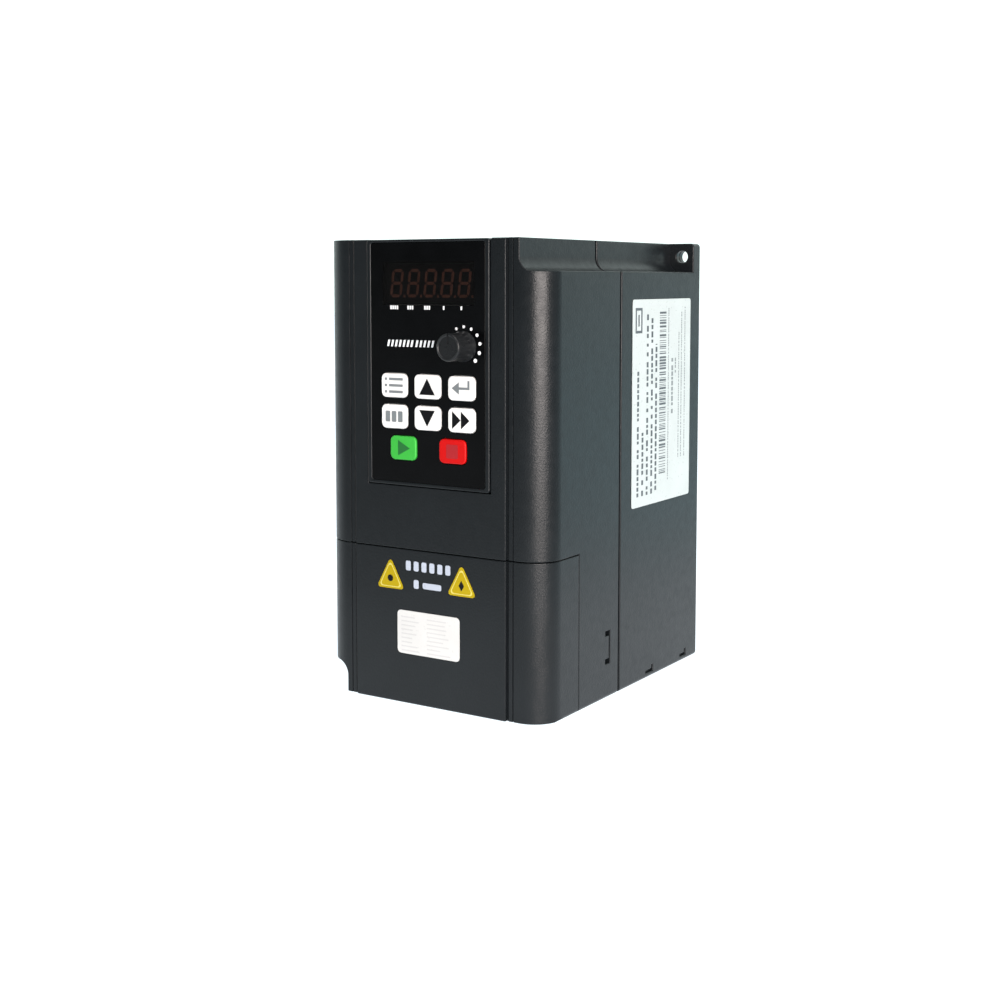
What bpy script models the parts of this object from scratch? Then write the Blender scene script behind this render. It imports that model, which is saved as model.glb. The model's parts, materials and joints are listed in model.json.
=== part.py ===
"""Compact wall-mounted variable frequency drive, as separate parts.

Millimetres in the constants below, metres in Blender. Origin: centre of the back
mounting face. +X right seen from the front, -Y out of the front, +Z up.
"""
import math

import bmesh
import bpy
from mathutils import Matrix, Vector

MM = 0.001

# Driving dimensions
WIDTH = 97.5
HEIGHT = 170.0
DEPTH = 123.0
WALL = 2.5
GAP = 0.3
CORNER_R = 11.0
EDGE_R = 1.5

HALF_W = WIDTH / 2
HALF_H = HEIGHT / 2
FRONT = -DEPTH

# Raised centre panel and the groove beside it
PANEL_HALF = 33.0
PANEL_RISE = 0.8
GROOVE_W = 0.7
GROOVE_DEEP = 0.9

# Parting planes
SPLIT = -68.6
COVER_BACK = -98.5
COVER_TOP = -27.45

# Corner scoops that clear the two fixing screws
SCOOP_X = 38.05
SCOOP_Z = 73.5
SCOOP_R = 5.0
FLANGE = 6.2
BACK_WALL = 3.5
MOUNT_HOLE_X = 43.5
MOUNT_HOLE_Z = 79.7
MOUNT_HOLE_R = 2.5

# Air outlet slots in the top, and the fan's door in the bottom
VENT_COUNT = 12
VENT_FIRST = -40.0
VENT_PITCH = 6.4
VENT_W = 3.0
FAN_DOOR_X = (-33.0, 43.0)
FAN_DOOR_Y = (-51.0, -6.0)

# Keypad module
KEYPAD_HALF = 26.6
KEYPAD_LOW = -4.0
KEYPAD_HIGH = HALF_H - 0.15
KEYPAD_PROUD = 0.5
KEYPAD_BACK = -109.6
FACE_HALF = 24.8
FACE_LOW = -2.6
FACE_HIGH = 83.7
FACE_FRONT = -123.3
FACE_THICK = 0.7
FRAME_WALL = 1.5
DISPLAY_X = 0.5
DISPLAY_Z = 69.2
DISPLAY_W = 38.0
DISPLAY_H = 13.6
STATUS_Z = 60.5
BOARD_FRONT = -113.0
BOARD_THICK = 1.6
BOARD_HALF = 24.5
BOARD_LOW = -2.0
BOARD_HIGH = 82.8
PLUG_Z = 23.0
PLUG_BACK = -104.3

# Potentiometer
KNOB_X = 15.9
KNOB_Z = 47.1
KNOB_R = 5.0
KNOB_FRONT = -133.5
SHAFT_R = 1.5

# Keys: name, centre x, centre z, colour
KEY_W = 11.4
KEY_H = 8.7
KEY_R = 2.0
KEY_FRONT = -123.9
KEY_TRAVEL = 0.8
KEY_FLANGE = -120.5
SWITCH_FRONT = -118.1
KEYS = (
    ("program_key", -14.3, 32.3, "white"),
    ("up_key", 0.4, 32.3, "white"),
    ("enter_key", 15.1, 32.3, "white"),
    ("function_key", -14.3, 21.0, "white"),
    ("down_key", 0.4, 21.0, "white"),
    ("shift_key", 15.1, 21.0, "white"),
    ("run_key", -10.4, 9.7, "green"),
    ("stop_key", 11.2, 9.7, "red"),
)

# Heatsink and fan
SINK_HALF = 38.0
SINK_LOW = -60.0
SINK_HIGH = 62.0
SINK_FRONT = -48.0
SINK_BASE = 6.0
FIN_COUNT = 12
FIN_THICK = 2.2
FIN_BACK = -5.0
FAN_X = 5.0
FAN_Y = -27.0
FAN_SIZE = 40.0
FAN_LOW = -81.5
FAN_THICK = 10.0
FAN_BORE_R = 19.0
FAN_HUB_R = 8.0
BLADES = 7

# Boards behind the keypad
CONTROL_FRONT = -92.0
POWER_FRONT = -57.0
TERMINALS = 6
TERMINAL_PITCH = 11.0

COLOURS = {
    "housing": ((0.035, 0.037, 0.040, 1), 0.5, 0.0),
    "gloss": ((0.006, 0.006, 0.008, 1), 0.12, 0.0),
    "smoke": ((0.02, 0.008, 0.008, 1), 0.08, 0.0),
    "white": ((0.82, 0.82, 0.80, 1), 0.4, 0.0),
    "green": ((0.05, 0.55, 0.12, 1), 0.4, 0.0),
    "red": ((0.75, 0.03, 0.03, 1), 0.4, 0.0),
    "label": ((0.80, 0.81, 0.82, 1), 0.45, 0.0),
    "yellow": ((0.85, 0.60, 0.03, 1), 0.4, 0.0),
    "board": ((0.02, 0.16, 0.07, 1), 0.35, 0.0),
    "chip": ((0.02, 0.02, 0.02, 1), 0.5, 0.0),
    "terminal": ((0.03, 0.10, 0.06, 1), 0.45, 0.0),
    "aluminium": ((0.62, 0.63, 0.65, 1), 0.35, 1.0),
    "steel": ((0.55, 0.55, 0.56, 1), 0.3, 1.0),
    "can": ((0.03, 0.04, 0.09, 1), 0.4, 0.0),
    "brass": ((0.70, 0.55, 0.25, 1), 0.3, 1.0),
}


# ---------------------------------------------------------------- outlines

def fillet(corners, steps=4):
    """Closed outline from (u, v, radius) corners, each radius turned into an arc."""
    points = []
    count = len(corners)
    for i, (u, v, radius) in enumerate(corners):
        if radius == 0:
            points.append((u, v))
            continue
        before = corners[i - 1]
        after = corners[(i + 1) % count]
        a = math.atan2(before[1] - v, before[0] - u)
        b = math.atan2(after[1] - v, after[0] - u)
        half = (b - a + math.pi) % (2 * math.pi) - math.pi
        middle = a + half / 2
        reach = radius / abs(math.sin(half / 2))
        centre = (u + reach * math.cos(middle), v + reach * math.sin(middle))
        side = math.copysign(1, half)
        start = a - side * math.pi / 2
        sweep = side * (abs(half) - math.pi)
        for step in range(steps + 1):
            angle = start + sweep * step / steps
            points.append((centre[0] + radius * math.cos(angle), centre[1] + radius * math.sin(angle)))
    return points


def rectangle(u0, u1, v0, v1, radius=0.0, steps=3):
    """Rectangle outline, with rounded corners when a radius is given."""
    return fillet([(u0, v0, radius), (u1, v0, radius), (u1, v1, radius), (u0, v1, radius)], steps)


def circle(u, v, radius, segments=24):
    """Round outline."""
    turn = 2 * math.pi / segments
    return [(u + radius * math.cos(turn * i), v + radius * math.sin(turn * i)) for i in range(segments)]


def plan_outline(inset, back):
    """Top view of the housings: round front corners beside the raised centre panel."""
    side = HALF_W - inset
    low = FRONT + PANEL_RISE + inset
    high = FRONT + inset
    radius = CORNER_R - inset
    if inset:
        return fillet([(-side, back, 0), (-side, low, radius), (side, low, radius), (side, back, 0)])
    edge = PANEL_HALF + GROOVE_W
    floor = low + GROOVE_DEEP
    return fillet([
        (-side, back, 0), (-side, low, radius), (-edge, low, 0), (-edge, floor, 0),
        (-PANEL_HALF, floor, 0), (-PANEL_HALF, high, 0), (PANEL_HALF, high, 0), (PANEL_HALF, floor, 0),
        (edge, floor, 0), (edge, low, 0), (side, low, radius), (side, back, 0)])


# ---------------------------------------------------------------- solids

def place(axis, u, v, along):
    """Point in metres: the outline's (u, v) lies across the axis, in X, Y, Z order."""
    if axis == "X":
        point = (along, u, v)
    elif axis == "Y":
        point = (u, along, v)
    else:
        point = (u, v, along)
    return tuple(MM * value for value in point)


def loft(mesh, rings, axis):
    """Closed body through rings of (outline, position along the axis)."""
    loops = [[mesh.verts.new(place(axis, u, v, at)) for u, v in outline] for outline, at in rings]
    for near, far in zip(loops, loops[1:]):
        for i in range(len(near)):
            j = (i + 1) % len(near)
            mesh.faces.new((near[i], near[j], far[j], far[i]))
    mesh.faces.new(loops[0])
    mesh.faces.new(loops[-1])


def prism(mesh, outline, axis, start, end):
    """Outline extruded straight along an axis."""
    loft(mesh, [(outline, start), (outline, end)], axis)


def block(mesh, x, y, z):
    """Box from three (low, high) pairs."""
    prism(mesh, rectangle(x[0], x[1], y[0], y[1]), "Z", z[0], z[1])


def cylinder(mesh, u, v, radius, axis, start, end, segments=24):
    """Round bar along an axis."""
    prism(mesh, circle(u, v, radius, segments), axis, start, end)


def material(name):
    """Principled material of one colour set, made once."""
    found = bpy.data.materials.get(name)
    if found:
        return found
    colour, roughness, metallic = COLOURS[name]
    made = bpy.data.materials.new(name)
    made.use_nodes = True
    made.diffuse_color = colour
    shader = made.node_tree.nodes["Principled BSDF"]
    shader.inputs["Base Color"].default_value = colour
    shader.inputs["Roughness"].default_value = roughness
    shader.inputs["Metallic"].default_value = metallic
    return made


def solid(name, build, *arguments):
    """Object made by a function that fills a bmesh with closed bodies."""
    mesh = bmesh.new()
    build(mesh, *arguments)
    bmesh.ops.recalc_face_normals(mesh, faces=mesh.faces)
    data = bpy.data.meshes.new(name)
    mesh.to_mesh(data)
    mesh.free()
    made = bpy.data.objects.new(name, data)
    bpy.context.scene.collection.objects.link(made)
    return made


def part(name, colour, build, *arguments):
    """Visible part with its own material."""
    made = solid(name, build, *arguments)
    made.data.materials.append(material(colour))
    made.data.shade_smooth()
    made.data.set_sharp_from_angle(angle=math.radians(35))
    return made


def tool(name, build, *arguments):
    """Hidden solid that cuts or extends a part."""
    made = solid(name, build, *arguments)
    made.hide_render = True
    made.display_type = "WIRE"
    return made


def combine(target, operation, helper):
    """Boolean modifier between a part and a hidden solid."""
    modifier = target.modifiers.new(helper.name, "BOOLEAN")
    modifier.operation = operation
    modifier.object = helper


def cut(target, name, build, *arguments):
    """Cut a solid out of a part."""
    combine(target, "DIFFERENCE", tool(target.name + "_" + name, build, *arguments))


def add(target, name, build, *arguments):
    """Join a solid to a part."""
    combine(target, "UNION", tool(target.name + "_" + name, build, *arguments))


def turn_about(made, x, y, z):
    """Move an object's origin to a point on its joint's axis, with its shape and helpers left in place."""
    shift = Vector((MM * x, MM * y, MM * z))
    made.data.transform(Matrix.Translation(-shift))
    made.location = shift
    for modifier in made.modifiers:
        modifier.object.parent = made
        modifier.object.matrix_parent_inverse = Matrix.Translation(-shift)


# ---------------------------------------------------------------- housings

def scoops(mesh, grow):
    """Both corner scoops. Grown by a wall thickness, they are what the cavities leave standing."""
    x = SCOOP_X - grow
    z = SCOOP_Z - grow
    far = 60.0
    tall = 96.0
    deep = grow - FLANGE
    radius = SCOOP_R + grow
    upper = fillet([(x, z, radius), (far, z, 0), (far, tall, 0), (x, tall, 0)])
    prism(mesh, upper, "Y", FRONT - 10, deep)
    prism(mesh, [(-u, -v) for u, v in upper], "Y", FRONT - 10, deep)


def mount_holes(mesh):
    """Through holes for the two M4 fixing screws."""
    for side in (1, -1):
        cylinder(mesh, side * MOUNT_HOLE_X, side * MOUNT_HOLE_Z, MOUNT_HOLE_R, "Y", -FLANGE - 3, 3)


def vents(mesh, y):
    """Row of parallel slots in a top wall."""
    for i in range(VENT_COUNT):
        x = VENT_FIRST + VENT_PITCH * i
        block(mesh, (x, x + VENT_W), y, (HALF_H - WALL - 2, HALF_H + 3))


def back_windows(mesh):
    """Two windows in the back wall that show the fins, with a crossbar between them."""
    for low, high in ((-58, -9), (9, 60)):
        prism(mesh, rectangle(-35, 35, low, high, 3), "Y", -BACK_WALL - 2, 3)


def clip_windows(mesh):
    """Shallow L-shaped pockets low on both sides, where the fan cover is prised off."""
    for front, back in ((-46.6, -39.5), (-16.2, -10.0)):
        corner = [(front, -82.9), (back, -82.9), (back, -79.9), (back - 1.3, -79.9),
                  (back - 1.3, -81.6), (front, -81.6)]
        prism(mesh, corner, "X", HALF_W - 1.2, HALF_W + 5)


def rear_housing():
    """Back half: side walls, mounting flange with the fixing ears, windows, air outlet."""
    made = part("rear_housing", "housing", lambda mesh: prism(
        mesh, rectangle(-HALF_W, HALF_W, -HALF_H, HALF_H, EDGE_R), "Y", SPLIT + GAP / 2, 0))
    cavity = tool("rear_cavity", block, (WALL - HALF_W, HALF_W - WALL), (SPLIT - 5, -BACK_WALL),
                  (WALL - HALF_H, HALF_H - WALL))
    combine(cavity, "DIFFERENCE", tool("rear_cavity_scoops", scoops, WALL))
    combine(made, "DIFFERENCE", cavity)
    cut(made, "scoops", scoops, 0)
    cut(made, "holes", mount_holes)
    cut(made, "windows", back_windows)
    cut(made, "clips", clip_windows)
    cut(made, "outlet", vents, (-62.0, -12.0))
    cut(made, "fan_door", block, FAN_DOOR_X, FAN_DOOR_Y, (-HALF_H - 3, WALL + 1 - HALF_H))


def middle_cavity():
    """Hollow of the middle housing: all but its walls, the cover's bay and the keypad's pocket."""
    made = tool("middle_cavity", lambda mesh: prism(
        mesh, plan_outline(WALL, SPLIT + 5), "Z", WALL - HALF_H, HALF_H - WALL))
    combine(made, "DIFFERENCE", tool("middle_cavity_scoops", scoops, WALL))
    combine(made, "DIFFERENCE", tool(
        "middle_cavity_bay", block, (-60, 60), (FRONT - 10, COVER_BACK + WALL),
        (-HALF_H - 10, COVER_TOP + WALL)))
    combine(made, "DIFFERENCE", tool(
        "middle_cavity_pocket", block, (-KEYPAD_HALF - 2, KEYPAD_HALF + 2),
        (FRONT - 10, KEYPAD_BACK + 2.3), (KEYPAD_LOW - 2, HALF_H + 10)))
    return made


def latch_slots(mesh):
    """Bracket-shaped slits round the snap tongue, one on each side."""
    slit = [(-78.6, -71.9), (-75.0, -71.9), (-75.0, -59.5), (-78.6, -59.5), (-78.6, -61.4),
            (-75.9, -61.4), (-75.9, -70.0), (-78.6, -70.0)]
    for side in (1, -1):
        prism(mesh, slit, "X", side * (HALF_W - WALL - 2), side * (HALF_W + 3))


def middle_housing():
    """Upper front and both sides, with the keypad pocket and the bay for the terminal cover."""
    made = part("middle_housing", "housing", lambda mesh: prism(
        mesh, plan_outline(0, SPLIT - GAP / 2), "Z", -HALF_H, HALF_H))
    combine(made, "DIFFERENCE", middle_cavity())
    cut(made, "bay", block, (-60, 60), (FRONT - 5, COVER_BACK + GAP / 2),
        (-HALF_H - 5, COVER_TOP + GAP / 2))
    cut(made, "pocket", block, (-KEYPAD_HALF - GAP, KEYPAD_HALF + GAP), (FRONT - 5, KEYPAD_BACK + GAP),
        (KEYPAD_LOW - GAP, HALF_H + 5))
    cut(made, "scoops", scoops, 0)
    cut(made, "plug_window", block, (-11, 11), (KEYPAD_BACK - 2, KEYPAD_BACK + 5), (PLUG_Z - 7, PLUG_Z + 7))
    cut(made, "terminal_window", block, (-35, 35), (COVER_BACK - 3, COVER_BACK + WALL + 3), (-77, -34))
    cut(made, "latches", latch_slots)
    cut(made, "outlet", vents, (-100.0, -74.0))


def terminal_cover():
    """Lower front cover over the terminals, open at the back and slotted below for the cables."""
    top = COVER_TOP - GAP / 2
    low = GAP - HALF_H
    made = part("terminal_cover", "housing", lambda mesh: prism(
        mesh, plan_outline(0, COVER_BACK - GAP / 2), "Z", low, top))
    cavity = tool("cover_cavity", lambda mesh: prism(
        mesh, plan_outline(WALL, COVER_BACK + 5), "Z", low + WALL, top - WALL))
    combine(cavity, "DIFFERENCE", tool("cover_cavity_scoops", scoops, WALL))
    combine(made, "DIFFERENCE", cavity)
    cut(made, "scoops", scoops, 0)
    cut(made, "cable_slot", block, (-31, 37), (-116, -101.5), (-HALF_H - 3, low + WALL + 2))


# ---------------------------------------------------------------- keypad

def keypad_shell(mesh):
    """Outer block of the keypad's frame."""
    prism(mesh, rectangle(-KEYPAD_HALF, KEYPAD_HALF, KEYPAD_LOW, KEYPAD_HIGH, 1.0), "Y",
          FRONT - KEYPAD_PROUD, KEYPAD_BACK)


def key_openings(mesh, start, end):
    """Holes for the eight keys."""
    for _, x, z, _ in KEYS:
        outline = rectangle(x - KEY_W / 2 - GAP, x + KEY_W / 2 + GAP, z - KEY_H / 2 - GAP,
                            z + KEY_H / 2 + GAP, KEY_R + GAP)
        prism(mesh, outline, "Y", start, end)


def display_opening(mesh, grow, start, end):
    """Hole round the display."""
    outline = rectangle(DISPLAY_X - DISPLAY_W / 2 - grow, DISPLAY_X + DISPLAY_W / 2 + grow,
                        DISPLAY_Z - DISPLAY_H / 2 - grow, DISPLAY_Z + DISPLAY_H / 2 + grow)
    prism(mesh, outline, "Y", start, end)


def shaft_opening(mesh, start, end):
    """Hole for the potentiometer's shaft."""
    cylinder(mesh, KNOB_X, KNOB_Z, SHAFT_R + 1.0, "Y", start, end, 16)


def status_opening(mesh, start, end):
    """Slot for the status light bar."""
    block(mesh, (-17.3, 17.3), (start, end), (STATUS_Z - 1.3, STATUS_Z + 1.3))


def keypad_frame():
    """Bezel and tray of the keypad, open at the back."""
    seat = FACE_FRONT + FACE_THICK + GAP
    inner = seat + FRAME_WALL
    made = part("keypad_frame", "housing", keypad_shell)
    cut(made, "face_seat", lambda mesh: prism(
        mesh, rectangle(-FACE_HALF - GAP, FACE_HALF + GAP, FACE_LOW - GAP, FACE_HIGH + GAP, 1.0), "Y",
        FRONT - 5, seat))
    cut(made, "tray", block, (-KEYPAD_HALF + FRAME_WALL, KEYPAD_HALF - FRAME_WALL),
        (inner, KEYPAD_BACK + 5), (KEYPAD_LOW + FRAME_WALL, KEYPAD_HIGH - FRAME_WALL))
    cut(made, "keys", key_openings, seat - 2, inner + 2)
    cut(made, "display", display_opening, GAP, seat - 2, inner + 2)
    cut(made, "shaft", shaft_opening, seat - 2, inner + 2)
    cut(made, "status", status_opening, seat - 2, inner + 2)


def keypad_faceplate():
    """Glossy front sheet with openings for the keys, the shaft and the display window."""
    made = part("keypad_faceplate", "gloss", lambda mesh: prism(
        mesh, rectangle(-FACE_HALF, FACE_HALF, FACE_LOW, FACE_HIGH, 0.8), "Y",
        FACE_FRONT, FACE_FRONT + FACE_THICK))
    cut(made, "keys", key_openings, FACE_FRONT - 1, FACE_FRONT + FACE_THICK + 1)
    cut(made, "display", display_opening, 1.0 + GAP, FACE_FRONT - 1, FACE_FRONT + FACE_THICK + 1)
    cut(made, "shaft", shaft_opening, FACE_FRONT - 1, FACE_FRONT + FACE_THICK + 1)


def display_parts():
    """Smoked window, the five-digit display behind it and the status light bar."""
    part("display_window", "smoke", display_opening, 1.0, FACE_FRONT, FACE_FRONT + FACE_THICK)
    part("display_module", "chip", display_opening, 0.0, FACE_FRONT + FACE_THICK + GAP, BOARD_FRONT - GAP)
    part("status_light_bar", "white", lambda mesh: block(
        mesh, (-17, 17), (FACE_FRONT + FACE_THICK + GAP, BOARD_FRONT - GAP), (STATUS_Z - 1, STATUS_Z + 1)))


def key_rings(x, z):
    """Cap, retaining flange and stem of a key, as rings with the same number of points."""
    def ring(grow):
        """Cap outline, grown or shrunk all round."""
        return rectangle(x - KEY_W / 2 - grow, x + KEY_W / 2 + grow, z - KEY_H / 2 - grow,
                         z + KEY_H / 2 + grow, KEY_R + grow)

    stem = rectangle(x - 2, x + 2, z - 2, z + 2, 0.5)
    flange_back = KEY_FLANGE + 0.8
    cap = [(ring(-0.3), KEY_FRONT), (ring(0), KEY_FRONT + 0.3), (ring(0), KEY_FLANGE)]
    flange = [(ring(0.8), KEY_FLANGE), (ring(0.8), flange_back)]
    return cap + flange + [(stem, flange_back), (stem, SWITCH_FRONT - KEY_TRAVEL)]


def keys_and_switches():
    """Eight sliding keys, each over its own tactile switch."""
    for name, x, z, colour in KEYS:
        key = part(name, colour, loft, key_rings(x, z), "Y")
        turn_about(key, x, KEY_FLANGE, z)
        plunger = rectangle(x - 1.6, x + 1.6, z - 1.6, z + 1.6, 1.5)
        body = rectangle(x - 3.2, x + 3.2, z - 3.2, z + 3.2, 0.6)
        shoulder = SWITCH_FRONT + 1.1
        rings = [(plunger, SWITCH_FRONT + 0.3), (plunger, shoulder), (body, shoulder), (body, BOARD_FRONT - GAP)]
        part(name.replace("_key", "_switch"), "chip", loft, rings, "Y")


def potentiometer():
    """Knob and shaft that turn together, and the body soldered to the keypad's board."""
    rings = [(4.2, KNOB_FRONT), (4.7, KNOB_FRONT + 0.5), (KNOB_R, -129.5), (KNOB_R, -126.0),
             (5.5, -124.6), (5.5, FACE_FRONT - GAP)]
    knob = part("potentiometer_knob", "chip", loft, [
        (circle(KNOB_X, KNOB_Z, radius), at) for radius, at in rings], "Y")
    cut(knob, "bore", cylinder, KNOB_X, KNOB_Z, SHAFT_R + GAP, "Y", -129.0, FACE_FRONT + 2, 16)
    shaft = part("potentiometer_shaft", "steel", cylinder, KNOB_X, KNOB_Z, SHAFT_R, "Y", -128.7, -118.6, 16)
    for made in (knob, shaft):
        turn_about(made, KNOB_X, FACE_FRONT - GAP, KNOB_Z)
    part("potentiometer_body", "chip", block, (KNOB_X - 4.8, KNOB_X + 4.8), (-118.3, BOARD_FRONT - GAP),
         (KNOB_Z - 5.5, KNOB_Z + 5.5))


def keypad_back():
    """Circuit board, back cover, and the plug that reaches the control board's socket."""
    board_back = BOARD_FRONT + BOARD_THICK
    inside = ((-BOARD_HALF, BOARD_HALF), (BOARD_LOW, BOARD_HIGH))
    part("keypad_circuit_board", "board", block, inside[0], (BOARD_FRONT, board_back), inside[1])
    depth = (board_back + GAP, KEYPAD_BACK)
    cover = part("keypad_back_cover", "housing", block, inside[0], depth, inside[1])
    cut(cover, "plug", block, (-9, 9), (board_back - 2, KEYPAD_BACK + 2), (PLUG_Z - 4, PLUG_Z + 4))
    part("keypad_plug", "chip", block, (-8, 8), (board_back + GAP, PLUG_BACK), (PLUG_Z - 3, PLUG_Z + 3))
    part("keypad_socket", "chip", block, (-8.5, 8.5), (PLUG_BACK + GAP, CONTROL_FRONT - GAP),
         (PLUG_Z - 3.5, PLUG_Z + 3.5))


# ---------------------------------------------------------------- inside

def fin_outline():
    """Section of the heatsink: base plate with straight fins."""
    points = [(-SINK_HALF, SINK_FRONT), (SINK_HALF, SINK_FRONT)]
    pitch = (2 * SINK_HALF - FIN_THICK) / (FIN_COUNT - 1)
    base = SINK_FRONT + SINK_BASE
    for i in range(FIN_COUNT):
        right = SINK_HALF - pitch * i
        points += [(right, FIN_BACK), (right - FIN_THICK, FIN_BACK)]
        if i < FIN_COUNT - 1:
            points += [(right - FIN_THICK, base), (right - pitch, base)]
    return points


def cooling_and_power():
    """Heatsink, power module with its screws, power board on spacers, and the big components."""
    part("heatsink", "aluminium", lambda mesh: prism(mesh, fin_outline(), "Z", SINK_LOW, SINK_HIGH))
    face = SINK_FRONT - GAP
    module = part("power_module", "chip", block, (-32, 32), (face - 5.5, face), (-16, 20))
    part("power_board", "board", block, (-42, 42), (POWER_FRONT, POWER_FRONT + BOARD_THICK), (-69, 66))
    for side, name in ((-1, "left"), (1, "right")):
        cut(module, name + "_hole", cylinder, side * 28, 2, 2.0, "Y", face - 8, face + 2, 12)
        part("module_screw_" + name, "steel", loft, [
            (circle(side * 28, 2, radius, 12), at) for radius, at in
            ((2.6, face - 6.7), (2.6, face - 5.8), (1.6, face - 5.8), (1.6, face - 0.3))], "Y")
        for row, z in (("upper", 58), ("lower", -52)):
            part("board_spacer_%s_%s" % (row, name), "brass", cylinder, side * 34, z, 3.0, "Y",
                 POWER_FRONT + BOARD_THICK + GAP, face, 6)
    face = POWER_FRONT - GAP
    for name, x in (("left", -22.0), ("right", 4.0)):
        part("dc_capacitor_" + name, "can", loft, [
            (circle(x, 46, radius, 20), at) for radius, at in
            ((9.6, -84.3), (11.0, -83.3), (11.0, face - 3.4), (10.4, face - 2.7), (11.0, face - 2.0),
             (11.0, face))], "Y")
    part("transformer", "chip", block, (16, 40), (face - 19, face), (-8, 14))
    part("relay", "white", block, (-38, -22), (face - 15.5, face), (-4, 16))


def main_terminals():
    """Barrier terminal block of the supply and motor leads, with one screw in each well."""
    half = TERMINAL_PITCH * TERMINALS / 2
    made = part("main_terminal_block", "terminal", block, (-half - 1, half + 1),
                (-84.0, POWER_FRONT - GAP), (-68.0, -52.0))

    def wells(mesh):
        """One well for each terminal, open to the front and below."""
        for i in range(TERMINALS):
            x = -half + TERMINAL_PITCH * (i + 0.5)
            block(mesh, (x - 3.9, x + 3.9), (-90, -74.0), (-80.0, -54.5))

    cut(made, "wells", wells)
    for i in range(TERMINALS):
        x = -half + TERMINAL_PITCH * (i + 0.5)
        part("terminal_screw_%d" % (i + 1), "steel", cylinder, x, -62.0, 3.2, "Y", -77.0, -74.3, 12)


def control_side():
    """Control board behind the keypad, with its terminal block."""
    back = CONTROL_FRONT + BOARD_THICK
    part("control_board", "board", block, (-33, 33), (CONTROL_FRONT, back), (-52, 66))
    made = part("control_terminal_block", "terminal", block, (-28, 28), (-103.0, CONTROL_FRONT - GAP),
                (-49, -39))

    def mouths(mesh):
        """Ten wire entries."""
        for i in range(10):
            x = -25.2 + 5.6 * i
            block(mesh, (x - 1.7, x + 1.7), (-108, -98), (-46.5, -42.5))

    cut(made, "mouths", mouths)


# ---------------------------------------------------------------- fan

def fan_arm(mesh, angle, low, high):
    """Flat arm from the motor's seat out to the fan's frame."""
    along = (math.cos(angle), math.sin(angle))
    across = (-along[1], along[0])
    outer = FAN_BORE_R + 0.4
    corners = [(FAN_X + along[0] * reach + across[0] * side, FAN_Y + along[1] * reach + across[1] * side)
               for reach, side in ((3.0, -1.3), (outer, -1.3), (outer, 1.3), (3.0, 1.3))]
    prism(mesh, corners, "Z", low, high)


def fan():
    """Axial fan on the cover below the heatsink: frame with motor seat, and bladed rotor."""
    low = FAN_LOW
    half = FAN_SIZE / 2
    frame = part("fan_frame", "chip", lambda mesh: prism(
        mesh, rectangle(FAN_X - half, FAN_X + half, FAN_Y - half, FAN_Y + half, 2.5), "Z",
        low, low + FAN_THICK))
    cut(frame, "bore", cylinder, FAN_X, FAN_Y, FAN_BORE_R, "Z", low - 2, low + FAN_THICK + 2, 28)
    for i in range(3):
        add(frame, "arm_%d" % i, fan_arm, math.radians(90 + 120 * i), low + 0.2, low + 1.8)
    add(frame, "seat", cylinder, FAN_X, FAN_Y, FAN_HUB_R, "Z", low, low + 2.0, 18)
    rotor = part("fan_rotor", "chip", cylinder, FAN_X, FAN_Y, FAN_HUB_R, "Z", low + 2.4, low + 9.6, 21)
    for i in range(BLADES):
        add(rotor, "blade_%d" % i, blade, math.radians(360 / BLADES * i), low + 2.9)
    turn_about(rotor, FAN_X, FAN_Y, low + 2.4)


def blade(mesh, angle, low):
    """One pitched blade from inside the hub to just short of the bore."""
    inner = 6.5
    outer = FAN_BORE_R - 0.9
    corners = []
    for radius, lean in ((inner, 0.22), (outer, 0.34)):
        for turn, z in ((-lean, low), (lean, low + 6.0)):
            for thick in (-0.5, 0.5):
                x = FAN_X + radius * math.cos(angle + turn) + thick * math.sin(angle)
                y = FAN_Y + radius * math.sin(angle + turn) - thick * math.cos(angle)
                corners.append(mesh.verts.new((MM * x, MM * y, MM * z)))
    for face in ((0, 1, 3, 2), (4, 5, 7, 6), (0, 1, 5, 4), (2, 3, 7, 6), (0, 2, 6, 4), (1, 3, 7, 5)):
        mesh.faces.new([corners[i] for i in face])


def fan_cover():
    """Pull-off inlet grille in the bottom of the rear housing, with two arms beside the fan."""
    low = GAP - HALF_H
    made = part("fan_cover", "housing", block, (FAN_DOOR_X[0] + GAP, FAN_DOOR_X[1] - GAP),
                (FAN_DOOR_Y[0] + GAP, FAN_DOOR_Y[1] - GAP), (low, low + 2.6))

    def slots(mesh):
        """Seven parallel air slots."""
        for i in range(7):
            x = FAN_X - 16.5 + 5.0 * i
            block(mesh, (x, x + 3.0), (FAN_Y - 17, FAN_Y + 17), (low - 2, low + 5))

    cut(made, "slots", slots)
    for side, name in ((-1, "left"), (1, "right")):
        x = FAN_X + side * (FAN_SIZE / 2 + GAP)
        ends = sorted((x, x + side * 2.0))
        add(made, name + "_arm", block, ends, (FAN_Y - 8, FAN_Y + 8), (low + 1.5, low + 10.5))


# ---------------------------------------------------------------- labels

def labels():
    """Thin labels: rating plate on the right side, and those on the terminal cover."""
    thick = 0.15
    side = HALF_W + 0.05
    part("rating_label", "label", lambda mesh: prism(
        mesh, rectangle(-59, -9, -16.3, 63, 1.0, 2), "X", side, side + thick))
    front = FRONT - 0.05
    part("front_label", "label", lambda mesh: prism(
        mesh, rectangle(-13.8, 13.7, -66.1, -50.1, 1.5), "Y", front - thick, front))
    for name, x, low in (("left", -16.9, -42.6), ("right", 14.6, -42.1)):
        part("warning_triangle_" + name, "yellow", lambda mesh: prism(
            mesh, fillet([(x - 6.3, low, 0.9), (x + 6.3, low, 0.9), (x, low + 11.6, 0.9)], 2), "Y",
            front - thick, front))


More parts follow.
